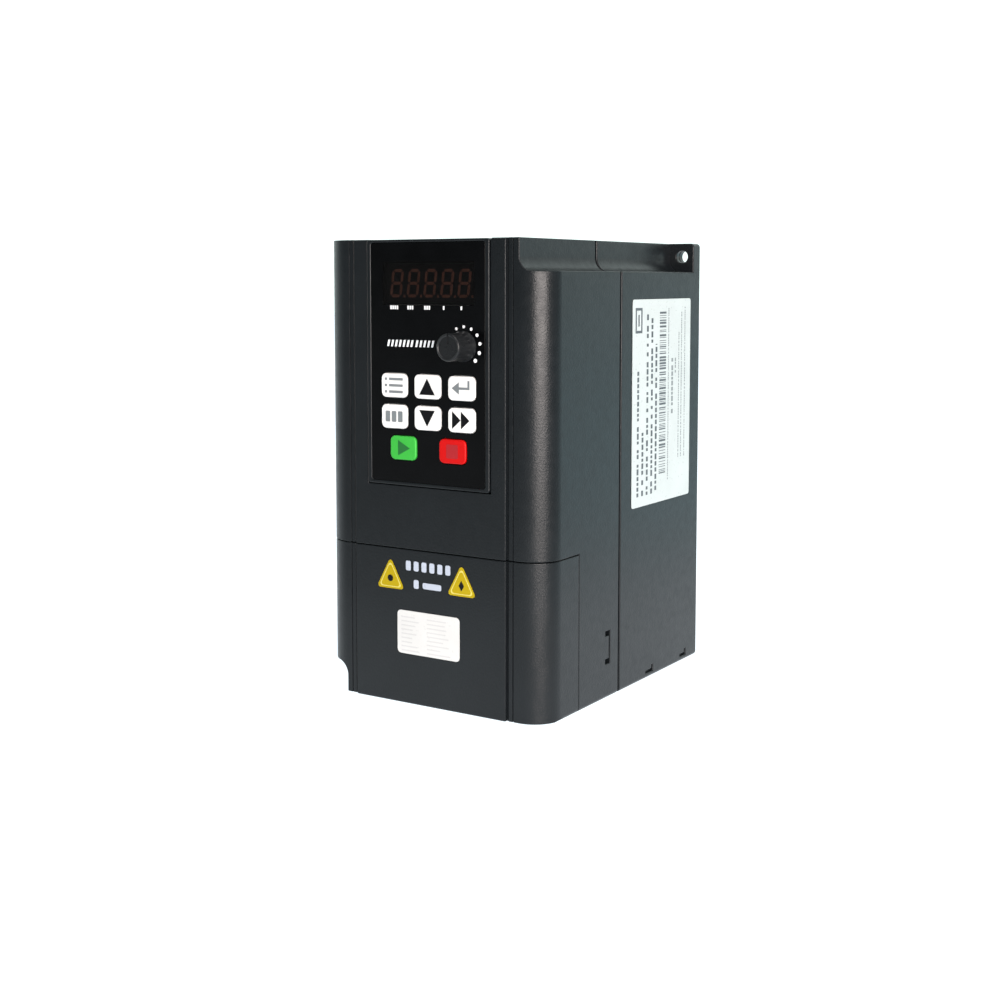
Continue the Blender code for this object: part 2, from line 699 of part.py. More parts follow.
def main():
    """Build every part."""
    for old in list(bpy.data.objects):
        bpy.data.objects.remove(old, do_unlink=True)
    rear_housing()
    middle_housing()
    terminal_cover()
    keypad_frame()
    keypad_faceplate()
    display_parts()
    keys_and_switches()
    potentiometer()
    keypad_back()
    cooling_and_power()
    main_terminals()
    control_side()
    fan()
    fan_cover()
    labels()


main()
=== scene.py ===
"""Finished looks of the compact variable frequency drive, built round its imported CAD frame.

Millimetres in the constants, metres in Blender. Same axes as the frame: +X right seen from
the front, -Y out of the front, +Z up, origin at the centre of the back mounting face.
"""
import json
import math
import random

import bmesh
import bpy
from mathutils import Euler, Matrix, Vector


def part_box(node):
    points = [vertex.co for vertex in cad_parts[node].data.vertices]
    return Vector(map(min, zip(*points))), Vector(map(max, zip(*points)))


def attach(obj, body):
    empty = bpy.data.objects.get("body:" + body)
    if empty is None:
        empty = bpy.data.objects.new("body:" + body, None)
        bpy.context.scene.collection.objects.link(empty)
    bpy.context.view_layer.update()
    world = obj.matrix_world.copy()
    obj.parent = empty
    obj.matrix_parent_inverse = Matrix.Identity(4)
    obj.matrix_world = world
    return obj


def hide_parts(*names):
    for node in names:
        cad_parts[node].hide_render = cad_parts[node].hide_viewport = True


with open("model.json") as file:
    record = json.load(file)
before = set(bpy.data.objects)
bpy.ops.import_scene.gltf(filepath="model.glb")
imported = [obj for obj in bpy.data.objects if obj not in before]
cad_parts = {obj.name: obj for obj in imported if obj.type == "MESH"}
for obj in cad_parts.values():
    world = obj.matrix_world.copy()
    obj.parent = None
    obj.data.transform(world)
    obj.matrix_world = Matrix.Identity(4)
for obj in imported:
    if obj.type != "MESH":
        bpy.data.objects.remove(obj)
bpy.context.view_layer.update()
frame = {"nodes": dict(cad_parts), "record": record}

MM = 0.001


def limits(node):
    """A CAD node's lowest and highest corners, in millimetres."""
    low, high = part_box(node)
    return [value / MM for value in low], [value / MM for value in high]


# Sizes read from the frame
REAR_LOW, REAR_HIGH = limits("rear_housing")
MIDDLE_LOW, MIDDLE_HIGH = limits("middle_housing")
COVER_LOW, COVER_HIGH = limits("terminal_cover")
KEYPAD_LOW, KEYPAD_HIGH = limits("keypad_frame")
FACE_LOW, FACE_HIGH = limits("keypad_faceplate")
WINDOW_LOW, WINDOW_HIGH = limits("display_window")
DISPLAY_LOW, DISPLAY_HIGH = limits("display_module")
HALF_W = REAR_HIGH[0]
HALF_H = REAR_HIGH[2]
FRONT = MIDDLE_LOW[1]

# Housings: walls, the raised centre panel with its grooves and beads, and the corner scoops
WALL = 2.5
BACK_WALL = 3.5
FLANGE = 6.2
CORNER_R = 11.0
PANEL_HALF = 33.0
PANEL_RISE = 0.8
GROOVE_W = 0.7
GROOVE_DEEP = 0.45
BEAD_EDGE = 35.4
BEAD_CREASE = 0.5
SEAM_W = 1.0
SEAM_DEEP = 1.2
SCOOP_X = 38.1
SCOOP_Z = 73.5
SCOOP_R = 5.0
MOUNT_HOLE_X = 43.5
MOUNT_HOLE_Z = 79.7
MOUNT_HOLE_R = 2.5
REAR_SOFTEN = 0.45
FRONT_SOFTEN = 0.3
VENT_COUNT = 12
VENT_PITCH = 6.4
VENT_FIRST_X = -38.5
VENT_HALF = 1.5
VENT_END_R = 1.45
POCKET_WALL = 1.7
# Spans that reach past the drive, for cutting solids
WIDE = (-60, 60)
TALL = (-96, 96)

# Openings in the housings, low and high along an axis
BACK_WINDOW_HALF = 35
BACK_WINDOWS_Z = ((-58, -9), (9, 60))
REAR_VENTS_Y = (-62, -12)
FRONT_VENTS_Y = (-100, -74)
FAN_OPENING_X = (-33, 43)
FAN_OPENING_Y = (-51, -6)
PLUG_HOLE_X = (-11, 11)
PLUG_HOLE_Z = (16, 30)
TERMINAL_OPENING_X = (-35, 35)
TERMINAL_OPENING_Z = (-77, -34)
CABLE_OPENING_X = (-31, 37)
CABLE_OPENING_Y = (-116, -101.5)
STATUS_OPENING_X = (-17.3, 17.3)
STATUS_OPENING_Z = (59.2, 61.8)

# Keypad
FRAME_WALL = 1.5
GAP = 0.3
FILM = 0.03
KEY_W = 11.4
KEY_H = 8.7
KEY_R = 2.0
STATUS_Z = 60.5
SHAFT_HOLE_R = 2.5
DIGIT_PITCH = 7.35
DIGIT_W = 5.2
DIGIT_H = 10.2
DIGIT_STROKE = 1.1
SCALE_R = 6.9
SCALE_DOTS = 11

# Stage: metres, and azimuths in degrees from the front towards the right.
# An edge is (azimuth climbed towards, where the climb starts and ends, level before and after).
# A light is (azimuth, elevation, distance, width, height, watts).
FLOOR_COLOUR = (1.0, 1.10, 1.17)
FRONT_EDGE = (141, -0.31, -0.26, 0.08, 1.0)
RIGHT_EDGE = (104, 0.17, 0.25, 1.0, 0.0)
SIDE_SHEEN = (217, -0.20, 0.12, 0.22, 0.92)
SIDE_TINT = (104, 0.17, 0.25)
SIDE_COLOUR = (0.74, 1.12, 1.22)
WALL_EDGE = (215, 0.24, 0.42, 0.15, 1.4)
WALL_COLOUR = (0.87, 1.0, 0.98)
KEY_LIGHT = (53, 5, 1.3, 0.9, 0.75, 41)
KEY_COLOUR = (1.0, 0.91, 0.87)
TOP_LIGHT = (45, 60, 1.4, 0.8, 0.8, 10)
TOP_COLOUR = (1.0, 0.97, 0.95)
LIGHT_AIM = (0, -0.06, 0)

# Camera: metres and degrees
LENS = 52.65
CAMERA_SHIFT = -0.10
CAMERA_PLACE = (0.3037, -0.5479, 0.0706)
CAMERA_TILT = -4.718
CAMERA_TURN = 32.71

KEYS = ("program", "up", "enter", "function", "down", "shift", "run", "stop")


# ---------------------------------------------------------------- outlines and solids

def fillet(corners, steps=12):
    """Closed outline from (u, v, radius) corners, each radius turned into an arc."""
    points = []
    count = len(corners)
    for i, (u, v, radius) in enumerate(corners):
        if radius == 0:
            points.append((u, v))
            continue
        before = corners[i - 1]
        after = corners[(i + 1) % count]
        a = math.atan2(before[1] - v, before[0] - u)
        b = math.atan2(after[1] - v, after[0] - u)
        half = (b - a + math.pi) % (2 * math.pi) - math.pi
        middle = a + half / 2
        reach = radius / abs(math.sin(half / 2))
        centre = (u + reach * math.cos(middle), v + reach * math.sin(middle))
        side = math.copysign(1, half)
        start = a - side * math.pi / 2
        sweep = side * (abs(half) - math.pi)
        for step in range(steps + 1):
            angle = start + sweep * step / steps
            points.append((centre[0] + radius * math.cos(angle), centre[1] + radius * math.sin(angle)))
    return points


def rectangle(u0, u1, v0, v1, radius=0.0, steps=6):
    """Rectangle outline, with rounded corners when a radius is given."""
    return fillet([(u0, v0, radius), (u1, v0, radius), (u1, v1, radius), (u0, v1, radius)], steps)


def circle(u, v, radius, segments=48):
    """Round outline."""
    turn = 2 * math.pi / segments
    return [(u + radius * math.cos(turn * i), v + radius * math.sin(turn * i)) for i in range(segments)]


def place(axis, u, v, along):
    """Point in metres: the outline's (u, v) lies across the axis, in X, Y, Z order."""
    if axis == "X":
        point = (along, u, v)
    elif axis == "Y":
        point = (u, along, v)
    else:
        point = (u, v, along)
    return tuple(MM * value for value in point)


def loft(mesh, rings, axis):
    """Closed body through rings of (outline, position along the axis)."""
    loops = [[mesh.verts.new(place(axis, u, v, at)) for u, v in outline] for outline, at in rings]
    for near, far in zip(loops, loops[1:]):
        for i in range(len(near)):
            j = (i + 1) % len(near)
            mesh.faces.new((near[i], near[j], far[j], far[i]))
    mesh.faces.new(loops[0])
    mesh.faces.new(loops[-1])


def prism(mesh, outline, axis, start, end):
    """Outline extruded straight along an axis."""
    loft(mesh, [(outline, start), (outline, end)], axis)


def prisms(mesh, outlines, axis, start, end):
    """Several outlines extruded alike."""
    for outline in outlines:
        prism(mesh, outline, axis, start, end)


def block(mesh, x, y, z):
    """Box from three (low, high) pairs."""
    prism(mesh, rectangle(x[0], x[1], y[0], y[1]), "Z", z[0], z[1])


def cylinder(mesh, u, v, radius, axis, start, end, segments=48):
    """Round bar along an axis."""
    prism(mesh, circle(u, v, radius, segments), axis, start, end)


def solid(name, build, *arguments):
    """Object made by a function that fills a bmesh with closed bodies."""
    mesh = bmesh.new()
    build(mesh, *arguments)
    bmesh.ops.recalc_face_normals(mesh, faces=mesh.faces)
    data = bpy.data.meshes.new(name)
    mesh.to_mesh(data)
    mesh.free()
    made = bpy.data.objects.new(name, data)
    bpy.context.scene.collection.objects.link(made)
    return made


def combine(target, operation, helper):
    """Boolean modifier between a piece and a helper solid."""
    modifier = target.modifiers.new(helper.name, "BOOLEAN")
    modifier.operation = operation
    modifier.object = helper


def cut(target, build, *arguments):
    """Cut a solid out of a piece."""
    combine(target, "DIFFERENCE", solid(target.name + "_cut", build, *arguments))


def evaluated_mesh(piece):
    """Mesh with the piece's modifiers applied."""
    graph = bpy.context.evaluated_depsgraph_get()
    return bpy.data.meshes.new_from_object(piece.evaluated_get(graph))


def divide_faces(work, planes):
    """Cut flat faces along planes of (axis, position) through their holes, and drop every other flat edge."""
    for axis, at in planes:
        normal = [float(name == axis) for name in "XYZ"]
        everything = work.verts[:] + work.edges[:] + work.faces[:]
        bmesh.ops.bisect_plane(work, geom=everything, dist=0.001 * MM, plane_co=[at * MM * n for n in normal],
                               plane_no=normal)

    def on_plane(edge):
        """Whether an edge lies in one of the planes."""
        return any(all(abs(vertex.co["XYZ".index(axis)] - at * MM) < 0.001 * MM for vertex in edge.verts)
                   for axis, at in planes)

    flat = [edge for edge in work.edges if len(edge.link_faces) == 2 and not on_plane(edge)
            and edge.calc_face_angle() < math.radians(0.2)]
    bmesh.ops.dissolve_limit(work, angle_limit=math.radians(0.3), verts=[], edges=flat)


def round_edges(mesh, width, planes):
    """Round a mesh's outward corners by a width in millimetres."""
    work = bmesh.new()
    work.from_mesh(mesh)
    bmesh.ops.remove_doubles(work, verts=work.verts, dist=0.002 * MM)
    if planes:
        divide_faces(work, planes)
    edges = [edge for edge in work.edges if len(edge.link_faces) == 2 and edge.is_convex
             and edge.calc_face_angle() > math.radians(65)]
    bmesh.ops.bevel(work, geom=edges, offset=width * MM, offset_type="OFFSET", segments=3, profile=0.5,
                    affect="EDGES", clamp_overlap=False)
    work.to_mesh(mesh)
    work.free()


def settle(piece, soften=0.0, planes=(), sharp=35):
    """Apply a piece's modifiers, round its edges, smooth its shading and drop its helpers."""
    helpers = []
    queue = [piece]
    while queue:
        for modifier in queue.pop().modifiers:
            if modifier.type == "BOOLEAN":
                helpers.append(modifier.object)
                queue.append(modifier.object)
    mesh = evaluated_mesh(piece)
    if soften:
        round_edges(mesh, soften, planes)
    piece.modifiers.clear()
    piece.data = mesh
    mesh.shade_smooth()
    mesh.set_sharp_from_angle(angle=math.radians(sharp))
    even = piece.modifiers.new("even_normals", "WEIGHTED_NORMAL")
    even.weight = 100
    even.keep_sharp = True
    mesh = evaluated_mesh(piece)
    piece.modifiers.clear()
    piece.data = mesh
    for helper in helpers:
        bpy.data.objects.remove(helper, do_unlink=True)


# ---------------------------------------------------------------- materials

MATERIALS = {}


def shader(name, colour, roughness, metallic=0.0, coat=0.0, shine=0.5):
    """New Principled material; returns its node tree and shader."""
    made = bpy.data.materials.new(name)
    made.use_nodes = True
    made.diffuse_color = (*colour, 1)
    node = made.node_tree.nodes["Principled BSDF"]
    node.inputs["Base Color"].default_value = (*colour, 1)
    node.inputs["Roughness"].default_value = roughness
    node.inputs["Metallic"].default_value = metallic
    node.inputs["Specular IOR Level"].default_value = shine
    node.inputs["Coat Weight"].default_value = coat
    node.inputs["Coat Roughness"].default_value = 0.08
    MATERIALS[name] = made
    return made.node_tree, node


def position(tree, stretch=(1, 1, 1)):
    """Object coordinates in metres, scaled along each axis."""
    coordinates = tree.nodes.new("ShaderNodeTexCoord")
    mapping = tree.nodes.new("ShaderNodeMapping")
    mapping.inputs["Scale"].default_value = stretch
    tree.links.new(coordinates.outputs["Object"], mapping.inputs["Vector"])
    return mapping.outputs["Vector"]


def noise(tree, where, cell, detail=2.0):
    """Noise whose features are about the given number of millimetres across."""
    made = tree.nodes.new("ShaderNodeTexNoise")
    made.inputs["Scale"].default_value = 1 / (cell * MM)
    made.inputs["Detail"].default_value = detail
    tree.links.new(where, made.inputs["Vector"])
    return made.outputs["Fac"]


def spread(tree, value, low, high):
    """Map a noise value's middle range onto low to high."""
    made = tree.nodes.new("ShaderNodeMapRange")
    made.inputs["From Min"].default_value = 0.3
    made.inputs["From Max"].default_value = 0.7
    made.inputs["To Min"].default_value = low
    made.inputs["To Max"].default_value = high
    tree.links.new(value, made.inputs["Value"])
    return made.outputs["Result"]


def tint(tree, value, dark, light):
    """Colour between two by a noise value."""
    made = tree.nodes.new("ShaderNodeValToRGB")
    made.color_ramp.elements[0].position = 0.3
    made.color_ramp.elements[0].color = (*dark, 1)
    made.color_ramp.elements[1].position = 0.7
    made.color_ramp.elements[1].color = (*light, 1)
    tree.links.new(value, made.inputs["Fac"])
    return made.outputs["Color"]


def bump(tree, node, value, height):
    """Relief of the given height in millimetres on a shader's normal."""
    made = tree.nodes.new("ShaderNodeBump")
    made.inputs["Distance"].default_value = height * MM
    made.inputs["Strength"].default_value = 1.0
    tree.links.new(value, made.inputs["Height"])
    tree.links.new(made.outputs["Normal"], node.inputs["Normal"])


def scaled(colour, factor):
    """Colour made lighter or darker."""
    return tuple(min(1.0, value * factor) for value in colour)


def moulded(name, colour, roughness, grain=0.35, relief=0.02, vary=0.12, shine=0.5):
    """Moulded plastic: spark-eroded grain, and faint flow marks in colour and gloss."""
    tree, node = shader(name, colour, roughness, shine=shine)
    where = position(tree)
    flow = noise(tree, where, 24.0, 4.0)
    tree.links.new(tint(tree, flow, scaled(colour, 1 - vary), scaled(colour, 1 + vary)),
                   node.inputs["Base Color"])
    tree.links.new(spread(tree, noise(tree, where, 3.0, 5.0), roughness - 0.05, roughness + 0.05),
                   node.inputs["Roughness"])
    bump(tree, node, noise(tree, where, grain, 3.0), relief)


def overlay(name, colour, roughness, shine=0.5):
    """Glossy printed polycarbonate sheet, with a trace of orange peel and handling haze."""
    tree, node = shader(name, colour, roughness, shine=shine)
    where = position(tree)
    tree.links.new(tint(tree, noise(tree, where, 9.0, 3.0), scaled(colour, 0.8), scaled(colour, 1.3)),
                   node.inputs["Base Color"])
    tree.links.new(spread(tree, noise(tree, where, 6.0, 6.0), roughness, roughness + 0.07),
                   node.inputs["Roughness"])
    bump(tree, node, noise(tree, where, 2.5, 1.0), 0.01)


def film(name, colour, roughness=0.32, shine=0.5):
    """Label film or ink with a fibrous sheen."""
    tree, node = shader(name, colour, roughness, shine=shine)
    where = position(tree)
    tree.links.new(tint(tree, noise(tree, where, 12.0, 5.0), scaled(colour, 0.95), scaled(colour, 1.03)),
                   node.inputs["Base Color"])
    tree.links.new(spread(tree, noise(tree, where, 1.2, 4.0), roughness - 0.06, roughness + 0.10),
                   node.inputs["Roughness"])
    bump(tree, node, noise(tree, where, 0.8, 3.0), 0.006)


def metal(name, colour, roughness, stretch=(1, 1, 1), cell=0.6, relief=0.01):
    """Metal with drawn or turned marks, longer along the axes with a small stretch."""
    tree, node = shader(name, colour, roughness, metallic=1.0)
    where = position(tree, stretch)
    marks = noise(tree, where, cell, 4.0)
    clouds = noise(tree, position(tree), 15.0, 3.0)
    tree.links.new(tint(tree, clouds, scaled(colour, 0.86), scaled(colour, 1.08)), node.inputs["Base Color"])
    tree.links.new(spread(tree, marks, roughness - 0.08, roughness + 0.12), node.inputs["Roughness"])
    bump(tree, node, marks, relief)


def board_material():
    """Green solder mask over copper tracks, with the tracks as a raised maze."""
    mask = (0.012, 0.10, 0.045)
    tree, node = shader("circuit_board", mask, 0.35, coat=0.3)
    where = position(tree)
    tracks = tree.nodes.new("ShaderNodeTexBrick")
    tracks.inputs["Scale"].default_value = 160.0
    tracks.inputs["Mortar Size"].default_value = 0.09
    tracks.inputs["Color1"].default_value = (*mask, 1)
    tracks.inputs["Color2"].default_value = (*scaled(mask, 0.8), 1)
    tracks.inputs["Mortar"].default_value = (*scaled(mask, 1.9), 1)
    turned = tree.nodes.new("ShaderNodeMapping")
    turned.inputs["Rotation"].default_value = (math.pi / 2, 0, 0)
    tree.links.new(where, turned.inputs["Vector"])
    tree.links.new(turned.outputs["Vector"], tracks.inputs["Vector"])
    tree.links.new(tracks.outputs["Color"], node.inputs["Base Color"])
    bump(tree, node, tracks.outputs["Fac"], 0.03)


def window_material():
    """Dark smoked window: the display shows faintly through it."""
    tree, node = shader("smoked_window", (0.0014, 0.0012, 0.0013), 0.14, shine=0.26)
    node.inputs["Alpha"].default_value = 0.62
    where = position(tree)
    tree.links.new(spread(tree, noise(tree, where, 6.0, 6.0), 0.14, 0.21), node.inputs["Roughness"])
    bump(tree, node, noise(tree, where, 2.5, 1.0), 0.01)


def make_materials():
    """Every material slot of the record, and the inks."""
    moulded("charcoal_plastic", (0.0058, 0.0074, 0.0088), 0.34, 0.7, 0.06, shine=0.27)
    overlay("gloss_black", (0.0012, 0.0013, 0.0016), 0.14, 0.16)
    window_material()
    moulded("white_key", (0.74, 0.74, 0.73), 0.38, 0.5, 0.006, 0.03, 0.3)
    moulded("green_key", (0.035, 0.36, 0.042), 0.38, 0.5, 0.006, 0.06, 0.3)
    moulded("red_key", (0.46, 0.003, 0.003), 0.38, 0.5, 0.006, 0.06, 0.2)
    moulded("black_plastic", (0.009, 0.010, 0.011), 0.3, 0.3, 0.012, shine=0.25)
    moulded("black_component", (0.018, 0.018, 0.019), 0.42, 0.25, 0.012)
    moulded("relay_case", (0.60, 0.60, 0.56), 0.4, 0.5, 0.01, 0.05)
    moulded("light_bar", (0.55, 0.55, 0.50), 0.3, 1.0, 0.005, 0.05)
    board_material()
    moulded("terminal_plastic", (0.02, 0.075, 0.04), 0.42, 0.4, 0.012, 0.1)
    overlay("capacitor_sleeve", (0.012, 0.018, 0.06), 0.3)
    metal("aluminium", (0.62, 0.63, 0.65), 0.34, (1, 1, 0.03), 0.5)
    metal("plated_steel", (0.60, 0.60, 0.58), 0.28, (1, 1, 1), 0.4)
    metal("brass", (0.70, 0.52, 0.22), 0.3, (1, 0.1, 1), 0.4)
    film("white_label", (0.56, 0.56, 0.55))
    film("silver_label", (0.44, 0.48, 0.48))
    film("yellow_label", (0.36, 0.265, 0.003), 0.32, 0.15)
    film("pale_ink", (0.55, 0.48, 0.10), 0.3)
    film("cool_ink", (0.40, 0.44, 0.52), 0.3)
    film("white_ink", (0.80, 0.82, 0.84), 0.3)
    film("dark_ink", (0.004, 0.004, 0.005), 0.35, 0.15)
    film("grey_ink", (0.16, 0.18, 0.19), 0.4)
    film("fine_ink", (0.06, 0.07, 0.08), 0.4)
    film("soft_grey_ink", (0.48, 0.48, 0.48), 0.4)
    film("green_ink", (0.008, 0.12, 0.02), 0.4)
    film("red_ink", (0.30, 0.006, 0.010), 0.4)
    film("segment_ink", (0.70, 0.28, 0.18), 0.4)


def paint_frame():
    """Give every CAD node that stays visible its slot's material."""
    for row in frame["record"]["subparts"]:
        node = frame["nodes"][row["node"]]
        node.data.materials.clear()
        node.data.materials.append(MATERIALS[row["material_slot"]])


def finish_piece(piece, body, material, replaces=()):
    """Material and body of a finished piece, and the CAD nodes it hides."""
    piece.data.materials.clear()
    piece.data.materials.append(MATERIALS[material])
    if replaces:
        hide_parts(*replaces)
    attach(piece, body)


# ---------------------------------------------------------------- housings

def plan_outline(inset, back):
    """Top view of the housings: round front corners beside the raised centre panel."""
    side = HALF_W - inset
    low = FRONT + PANEL_RISE + inset
    high = FRONT + inset
    radius = CORNER_R - inset
    if inset:
        return fillet([(-side, back, 0), (-side, low, radius), (side, low, radius), (side, back, 0)], 20)
    edge = PANEL_HALF + GROOVE_W
    floor = low + GROOVE_DEEP
    half = [(PANEL_HALF, high, 0), (PANEL_HALF, floor, 0), (edge, floor, 0), (edge, low, 0),
            (BEAD_EDGE, low, 0), (BEAD_EDGE + BEAD_CREASE / 2, low + BEAD_CREASE, 0),
            (BEAD_EDGE + BEAD_CREASE, low, 0), (side, low, radius), (side, back, 0)]
    return fillet([(-u, v, r) for u, v, r in reversed(half)] + half, 20)


def scoops(mesh, grow):
    """Both corner scoops. Grown by a wall thickness, they are what the cavities leave standing."""
    x = SCOOP_X - grow
    z = SCOOP_Z - grow
    deep = grow - FLANGE
    radius = SCOOP_R + grow
    upper = fillet([(x, z, radius), (WIDE[1], z, 0), (WIDE[1], TALL[1], 0), (x, TALL[1], 0)])
    prism(mesh, upper, "Y", FRONT - 10, deep)
    prism(mesh, [(-u, -v) for u, v in upper], "Y", FRONT - 10, deep)


def hollow(target, outline_y, low, high, *keeps):
    """Cut a housing's inside, leaving the walls round the scoops and the given blocks."""
    cavity = solid(target.name + "_cavity", lambda mesh: prism(
        mesh, plan_outline(WALL, outline_y), "Z", low, high))
    combine(cavity, "DIFFERENCE", solid(target.name + "_keep", scoops, WALL))
    for keep in keeps:
        combine(cavity, "DIFFERENCE", solid(target.name + "_keep", block, *keep))
    combine(target, "DIFFERENCE", cavity)


def round_ends(target):
    """Round a shell's top and bottom edges, as seen from the front and from the side."""
    combine(target, "INTERSECT", solid(target.name + "_sides", lambda mesh: prism(
        mesh, rectangle(-HALF_W, HALF_W, -HALF_H, HALF_H, 1.6), "Y", FRONT - 5, 5)))
    side = [(FRONT, -HALF_H, 1.0), (5, -HALF_H, 0), (5, HALF_H, 0), (FRONT, HALF_H, 1.0)]
    combine(target, "INTERSECT", solid(target.name + "_front", lambda mesh: prism(
        mesh, fillet(side, 6), "X", *WIDE)))


def vent_slots(mesh, y, z):
    """Row of round-ended slots in a top wall."""
    for i in range(VENT_COUNT):
        x = VENT_FIRST_X + VENT_PITCH * i
        prism(mesh, rectangle(x - VENT_HALF, x + VENT_HALF, *y, VENT_END_R), "Z", *z)


def seam_groove(target, split):
    """Cut the rear shell's front rim back to a lip, which leaves a groove at the joint."""
    half_w = HALF_W - SEAM_DEEP
    half_h = HALF_H - SEAM_DEEP
    seam = solid("rear_seam", block, WIDE, (split - 1, split + SEAM_W), TALL)
    lip = solid("rear_lip", lambda mesh: prism(
        mesh, rectangle(-half_w, half_w, -half_h, half_h, 1.0), "Y", split - 5, split + 5))
    combine(lip, "DIFFERENCE", solid("rear_lip_scoops", scoops, SEAM_DEEP))
    combine(seam, "DIFFERENCE", lip)
    combine(target, "DIFFERENCE", seam)


def clip_marks(target):
    """Two L-shaped clip windows low on the right side."""
    low = -82.9
    knee = -81.9
    high = -80.4
    thick = 1.1
    for front, back in ((-45.6, -39.5), (-15.2, -10.0)):
        corner = [(front, low), (back, low), (back, high), (back - thick, high),
                  (back - thick, knee), (front, knee)]
        cut(target, prism, corner, "X", HALF_W - 1.2, HALF_W + 5)


def rear_shell():
    """Back half: flange with its ears, clip windows, air outlet and back windows."""
    split = REAR_LOW[1]
    made = solid("rear_shell", lambda mesh: prism(
        mesh, rectangle(-HALF_W, HALF_W, -HALF_H, HALF_H, 1.5), "Y", split, 0))
    cavity = solid("rear_cavity", block, (WALL - HALF_W, HALF_W - WALL), (split - 5, -BACK_WALL),
                   (WALL - HALF_H, HALF_H - WALL))
    combine(cavity, "DIFFERENCE", solid("rear_keep", scoops, WALL))
    combine(made, "DIFFERENCE", cavity)
    cut(made, scoops, 0)
    seam_groove(made, split)
    for side in (1, -1):
        cut(made, cylinder, side * MOUNT_HOLE_X, side * MOUNT_HOLE_Z, MOUNT_HOLE_R, "Y", -FLANGE - 3, 3)
    for span in BACK_WINDOWS_Z:
        window = rectangle(-BACK_WINDOW_HALF, BACK_WINDOW_HALF, *span, 3)
        cut(made, prism, window, "Y", -BACK_WALL - 2, 3)
    clip_marks(made)
    cut(made, vent_slots, REAR_VENTS_Y, (HALF_H - WALL - 2, HALF_H + 3))
    cut(made, block, FAN_OPENING_X, FAN_OPENING_Y, (-HALF_H - 3, WALL + 1 - HALF_H))
    divides = (("X", 0), ("X", MOUNT_HOLE_X), ("X", -MOUNT_HOLE_X), ("Y", -37), ("Z", -81.4))
    settle(made, REAR_SOFTEN, divides)
    finish_piece(made, "chassis", "charcoal_plastic", replaces=("rear_housing",))


def latch_slit(mesh, side):
    """Bracket-shaped slit round the snap tongue."""
    slit = [(-78.6, -71.9), (-75.0, -71.9), (-75.0, -59.5), (-78.6, -59.5), (-78.6, -61.4),
            (-75.9, -61.4), (-75.9, -70.0), (-78.6, -70.0)]
    prism(mesh, slit, "X", side * (HALF_W - WALL - 2), side * (HALF_W + 3))


def middle_shell():
    """Upper front and both sides, with the keypad pocket and the terminal cover's bay."""
    split = MIDDLE_HIGH[1]
    bay_y = COVER_HIGH[1] + GAP
    bay_z = COVER_HIGH[2] + GAP
    pocket = KEYPAD_HIGH[0] + GAP
    floor = KEYPAD_HIGH[1] + GAP
    low = KEYPAD_LOW[2] - GAP
    made = solid("middle_shell", lambda mesh: prism(mesh, plan_outline(0, split), "Z", -HALF_H, HALF_H))
    round_ends(made)
    hollow(made, split + 5, WALL - HALF_H, HALF_H - WALL,
           (WIDE, (FRONT - 10, bay_y + WALL), (-HALF_H - 10, bay_z + WALL)),
           ((-pocket - POCKET_WALL, pocket + POCKET_WALL), (FRONT - 10, floor + 2.0),
            (low - POCKET_WALL, HALF_H + 10)))
    cut(made, block, WIDE, (FRONT - 5, bay_y), (-HALF_H - 5, bay_z))
    cut(made, block, (-pocket, pocket), (FRONT - 5, floor), (low, HALF_H + 5))
    cut(made, scoops, 0)
    cut(made, block, PLUG_HOLE_X, (floor - 2, floor + 5), PLUG_HOLE_Z)
    cut(made, block, TERMINAL_OPENING_X, (bay_y - 3, bay_y + WALL + 3), TERMINAL_OPENING_Z)
    for side in (1, -1):
        cut(made, latch_slit, side)
    cut(made, vent_slots, FRONT_VENTS_Y, (HALF_H - WALL - 2, HALF_H + 3))
    settle(made, FRONT_SOFTEN, (("X", 0), ("Y", -87), ("Z", 23), ("Z", -65.7)))
    finish_piece(made, "chassis", "charcoal_plastic", replaces=("middle_housing",))


def cover_shell():
    """Lower front cover over the terminals."""
    low = COVER_LOW[2]
    top = COVER_HIGH[2]
    back = COVER_HIGH[1]
    made = solid("cover_shell", lambda mesh: prism(mesh, plan_outline(0, back), "Z", low, top))
    round_ends(made)
    hollow(made, back + 5, low + WALL, top - WALL)
    cut(made, scoops, 0)
    cut(made, prism, rectangle(*CABLE_OPENING_X, *CABLE_OPENING_Y, 2), "Z", low - 3, low + WALL + 2)
    settle(made, FRONT_SOFTEN, (("Y", -108),))
    finish_piece(made, "terminal_cover", "charcoal_plastic", replaces=("terminal_cover",))


# ---------------------------------------------------------------- keypad

def key_centre(name):
    """Middle of a key seen from the front."""
    low, high = limits(name + "_key")
    return (low[0] + high[0]) / 2, (low[2] + high[2]) / 2


def key_holes(mesh, start, end):
    """Holes for the eight keys."""
    for name in KEYS:
        x, z = key_centre(name)
        prism(mesh, rectangle(x - KEY_W / 2 - GAP, x + KEY_W / 2 + GAP, z - KEY_H / 2 - GAP,
                              z + KEY_H / 2 + GAP, KEY_R + GAP), "Y", start, end)


def knob_axis():
    """Where the knob turns, seen from the front."""
    low, high = limits("potentiometer_knob")
    return (low[0] + high[0]) / 2, (low[2] + high[2]) / 2


